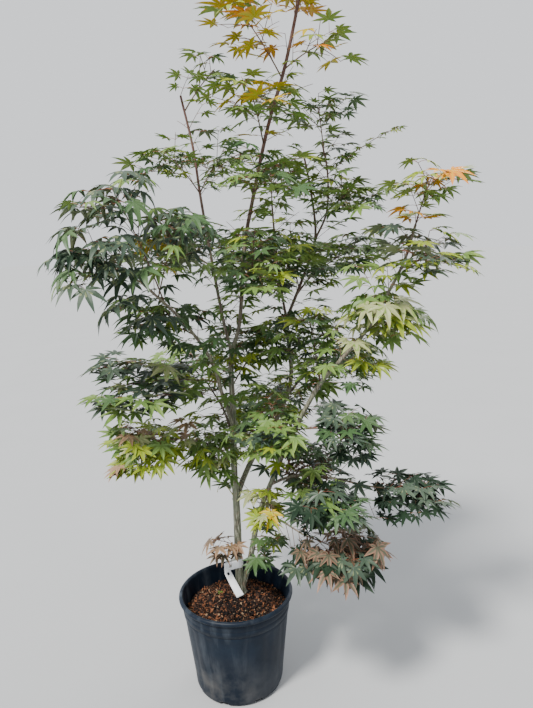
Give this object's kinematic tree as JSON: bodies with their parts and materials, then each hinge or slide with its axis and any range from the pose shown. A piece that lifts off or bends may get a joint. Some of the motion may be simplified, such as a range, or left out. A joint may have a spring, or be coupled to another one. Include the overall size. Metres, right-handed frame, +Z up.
{
  "type": "potted japanese maple",
  "caption": "Young palmate-leaved maple in a round black nursery pot: slender stems forking low, open tiered crown of lobed leaves, bark mulch and a blank tag.",
  "frame": {"origin": "centre of the pot's flat underside", "axes": "+Z up, -Y towards the viewer of the front, +X to the viewer's right"},
  "size_m": [1.1747, 1.0177, 2.2762],
  "materials": {
    "pot_plastic": "satin, dusty",
    "bark_mix": "rough, damp",
    "tag_plastic": "matte",
    "bark": "finely cracked, matte",
    "young_bark": "smooth, matte",
    "leaf_deep": "soft sheen",
    "leaf_slate": "soft sheen",
    "leaf_mid": "soft sheen",
    "leaf_lime": "soft sheen",
    "leaf_gold": "soft sheen",
    "leaf_bronze": "soft sheen"
  },
  "bodies": {
    "root": {"pot": "pot_plastic", "potting_mix": "bark_mix", "plant_tag": "tag_plastic", "trunk": "bark", "right_stem": "bark", "main_leader": "bark", "left_leader": "young_bark", "left_bough": "bark", "rear_stem": "bark", "rear_leader": "young_bark", "rear_left_leader": "young_bark", "rear_side_leader": "young_bark", "low_left_bough": "young_bark", "skirt_bough": "young_bark", "low_skirt_bough": "young_bark", "back_left_bough": "young_bark", "back_low_bough": "young_bark", "back_right_bough": "young_bark", "back_mid_bough": "young_bark", "back_right_upper_bough": "young_bark", "crown_top": "leaf_gold", "upper_left_spray": "leaf_gold", "upper_right_spray": "leaf_lime", "leader_spray": "leaf_lime", "leader_back_spray": "leaf_mid", "left_leader_top": "leaf_mid", "left_leader_side": "leaf_mid", "left_leader_back": "leaf_mid", "heart_front": "leaf_deep", "rear_top": "leaf_mid", "rear_crown": "leaf_mid", "rear_shoulder": "leaf_mid", "left_tip_upper": "leaf_slate", "left_tip": "leaf_slate", "left_shoulder": "leaf_slate", "centre_front": "leaf_deep", "centre_rear": "leaf_mid", "right_top": "leaf_lime", "right_side": "leaf_mid", "right_under": "leaf_lime", "centre_right": "leaf_deep", "left_under": "leaf_deep", "low_left_upper": "leaf_slate", "low_left": "leaf_lime", "trunk_spray": "leaf_mid", "heart_low": "leaf_mid", "centre_low": "leaf_deep", "trunk_cluster": "leaf_gold", "skirt_upper": "leaf_deep", "skirt_middle": "leaf_deep", "skirt_low": "leaf_bronze", "skirt_edge": "leaf_mid", "back_left": "leaf_mid", "back_middle": "leaf_deep", "back_right": "leaf_mid", "back_low_left": "leaf_mid", "back_low": "leaf_deep", "back_low_right": "leaf_mid", "back_skirt": "leaf_bronze"}
  },
  "joints": []
}
